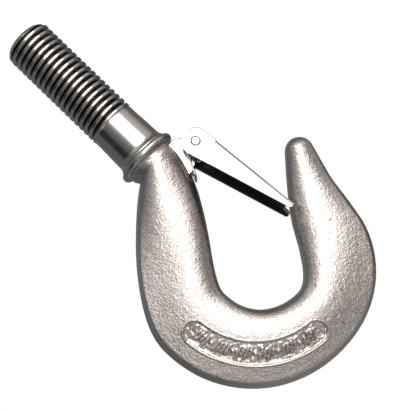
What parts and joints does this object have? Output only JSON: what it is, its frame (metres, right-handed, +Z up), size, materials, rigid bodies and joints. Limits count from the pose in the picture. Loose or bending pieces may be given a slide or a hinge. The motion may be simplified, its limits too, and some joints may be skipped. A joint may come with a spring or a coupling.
{
  "type": "threaded shank hook with spring latch",
  "caption": "Lifting hook with a threaded shank, a collar and a spring-loaded safety latch across its throat.",
  "frame": {"origin": "on the shank's axis at the top of the collar", "axes": "+Z up along the shank, which is the load line; +X towards the hook tip; +Y across the section; the hook hangs as it would in use"},
  "size_m": [0.093, 0.024, 0.1656],
  "materials": {
    "cast_body": "satin, finely granular cast stainless steel",
    "latch_plate": "polished stainless sheet",
    "rivet": "bright",
    "spring_wire": "bright drawn wire"
  },
  "bodies": {
    "hook": {"hook_body": "cast_body", "latch_rivet": "rivet", "latch_spring": "spring_wire"},
    "latch": {"latch": "latch_plate"}
  },
  "joints": [
    {"name": "latch_pivot", "type": "hinge", "parent": "hook", "child": "latch", "pos_m": [0.0154, 0, -0.013], "axis": [0, 1, 0], "range_deg": [0, 36], "stiffness_Nm_per_rad": 0.05, "springref_deg": -51.57, "deforming": ["latch_spring"]}
  ]
}
